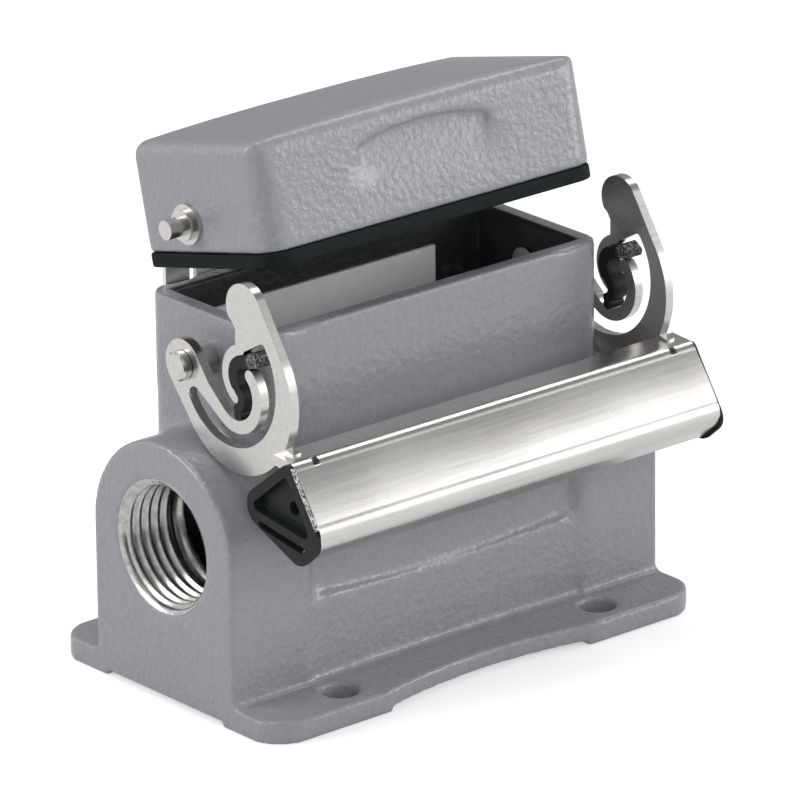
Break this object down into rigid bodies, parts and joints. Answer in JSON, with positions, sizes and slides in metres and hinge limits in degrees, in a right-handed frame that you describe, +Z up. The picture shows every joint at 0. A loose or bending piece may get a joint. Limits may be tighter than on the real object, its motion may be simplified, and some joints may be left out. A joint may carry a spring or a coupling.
{
  "type": "heavy duty rectangular connector housing",
  "caption": "Surface mounting die-cast connector housing with side cable entry, hinged sealing cover and a spring locking lever.",
  "frame": {"origin": "centre of the housing on the mounting surface", "axes": "+X along the length with the cable entry at -X, -Y towards the lever's handle, +Y towards the cover's hinge, +Z up"},
  "size_m": [0.0856, 0.0601, 0.0882],
  "materials": {
    "grey_paint": "die-cast aluminium, grey powder coat with a fine orange peel",
    "stainless": "stainless sheet, satin",
    "zinc_steel": "zinc plated",
    "bright_plate": "bright satin",
    "black_plastic": "matt",
    "black_rubber": "matt"
  },
  "bodies": {
    "housing": {"housing": "grey_paint", "blank_plate": "bright_plate", "pivot_stud_left": "stainless", "pivot_stud_right": "stainless", "hinge_bracket": "stainless", "bracket_screws": "zinc_steel", "hinge_pin": "zinc_steel"},
    "lever": {"lever_frame": "stainless", "hook_insert_left": "black_plastic", "hook_insert_right": "black_plastic", "handle_cap_left": "black_plastic", "handle_cap_right": "black_plastic"},
    "hinge_bushes": {"hinge_bushes": "black_plastic"},
    "cover": {"hinge_leaf": "stainless", "leaf_rivets": "zinc_steel", "cover_shell": "grey_paint", "cover_gasket": "black_rubber", "cover_peg_left": "zinc_steel", "cover_peg_right": "zinc_steel"}
  },
  "joints": [
    {"name": "lever_pivot", "type": "hinge", "parent": "housing", "child": "lever", "pos_m": [0, 0, 0.0523], "axis": [-1, 0, 0], "range_deg": [0, 41]},
    {"name": "cover_hinge", "type": "hinge", "parent": "housing", "child": "hinge_bushes", "pos_m": [0, 0.01736, 0.06358], "axis": [-1, 0, 0], "range_deg": [-13.65, 85]},
    {"name": "cover_float", "type": "slide", "parent": "hinge_bushes", "child": "cover", "axis": [0, 0.236, 0.9718], "range_m": [-0.00248, 0]}
  ]
}
